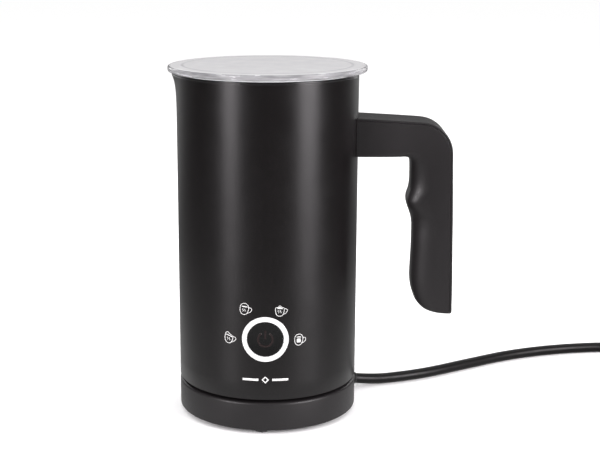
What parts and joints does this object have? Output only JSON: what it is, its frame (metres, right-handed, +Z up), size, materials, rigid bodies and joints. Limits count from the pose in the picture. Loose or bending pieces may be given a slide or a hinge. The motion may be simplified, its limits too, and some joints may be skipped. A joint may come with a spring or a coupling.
{
  "type": "milk frother",
  "caption": "Cordless electric milk frother: cylindrical jug with spout, clear lid, magnetic whisk and side handle on a round powered base with a mains cord.",
  "frame": {"origin": "where the jug's upright axis meets the plane under the base's rubber feet", "axes": "+Z up along the jug's axis, +X towards the handle, -X towards the spout, -Y towards the button"},
  "size_m": [0.3931, 0.1623, 0.205],
  "materials": {
    "painted_steel": "satin charcoal paint with fine metallic flake",
    "black_plastic": "black moulded plastic, fine texture",
    "inner_plastic": "plain black engineering plastic",
    "button_plastic": "dark glossy dished cap",
    "light_diffuser": "white translucent diffuser",
    "lid_plastic": "clear plastic with a glossy face",
    "seal_silicone": "soft clear silicone",
    "rubber": "black rubber",
    "cord_jacket": "black PVC jacket",
    "tie": "black hook-and-loop tie",
    "pot_coating": "dark non-stick coating",
    "bare_steel": "plain steel",
    "motor_can": "zinc-plated steel",
    "heat_spreader": "cast aluminium",
    "contact_brass": "nickel-plated brass",
    "magnet": "nickel-plated magnet",
    "circuit_board": "green circuit board"
  },
  "bodies": {
    "base": {"base_shell": "black_plastic", "base_plate": "inner_plastic", "base_feet": "rubber", "base_screws": "bare_steel", "base_coupling": "inner_plastic", "base_contacts": "contact_brass", "cord_relief": "rubber", "cord_clamp": "inner_plastic", "cord_clamp_screws": "bare_steel", "cord_run": "cord_jacket", "cord_coil": "cord_jacket", "cord_tail": "cord_jacket", "cord_tie": "tie", "plug_body": "cord_jacket", "plug_pins": "contact_brass"},
    "coupling": {"jug_coupling": "inner_plastic", "jug_contacts": "contact_brass"},
    "jug": {"jug_shell": "painted_steel", "floor_cover": "black_plastic", "floor_screws": "bare_steel", "inner_pot": "pot_coating", "whisk_pivot": "bare_steel", "heat_plate": "heat_spreader", "heating_element": "bare_steel", "thermal_cutout": "motor_can", "temperature_sensor": "motor_can", "motor_chassis": "inner_plastic", "motor_screws": "bare_steel", "drive_motor": "motor_can", "light_ring": "light_diffuser", "tact_switch": "inner_plastic", "control_board": "circuit_board", "ring_lamps": "light_diffuser", "handle_body": "black_plastic", "handle_cover": "black_plastic", "handle_bracket": "bare_steel", "handle_screws": "bare_steel"},
    "rotor": {"motor_shaft": "bare_steel", "magnet_carrier": "inner_plastic", "drive_magnets": "magnet"},
    "button": {"button_cap": "button_plastic", "switch_stem": "button_plastic"},
    "lid": {"lid_disc": "lid_plastic", "lid_seal": "seal_silicone"},
    "whisk_lifter": {"whisk_bush": "bare_steel"},
    "whisk": {"whisk_hub": "inner_plastic", "whisk_magnets": "magnet", "whisk_frame": "bare_steel", "whisk_coil": "bare_steel"}
  },
  "joints": [
    {"name": "jug_lift", "type": "slide", "parent": "base", "child": "coupling", "axis": [0, 0, 1], "range_m": [0, 0.12]},
    {"name": "jug_swivel", "type": "hinge", "parent": "coupling", "child": "jug", "pos_m": [0, 0, 0.0206], "axis": [0, 0, 1], "continuous": true},
    {"name": "lid_lift", "type": "slide", "parent": "jug", "child": "lid", "axis": [0, 0, 1], "range_m": [0, 0.06]},
    {"name": "button_press", "type": "slide", "parent": "jug", "child": "button", "axis": [0, 1, 0], "range_m": [0, 0.0008], "stiffness_N_per_m": 600, "springref_m": -0.0008},
    {"name": "rotor_spin", "type": "hinge", "parent": "jug", "child": "rotor", "pos_m": [0, 0, 0.084], "axis": [0, 0, 1], "continuous": true},
    {"name": "whisk_lift", "type": "slide", "parent": "jug", "child": "whisk_lifter", "axis": [0, 0, 1], "range_m": [0, 0.06]},
    {"name": "whisk_spin", "type": "hinge", "parent": "whisk_lifter", "child": "whisk", "pos_m": [0, 0, 0.1], "axis": [0, 0, 1], "continuous": true}
  ],
  "couplings": [
    {"joint": "rotor_spin", "follows": "whisk_spin", "ratio": 1}
  ]
}
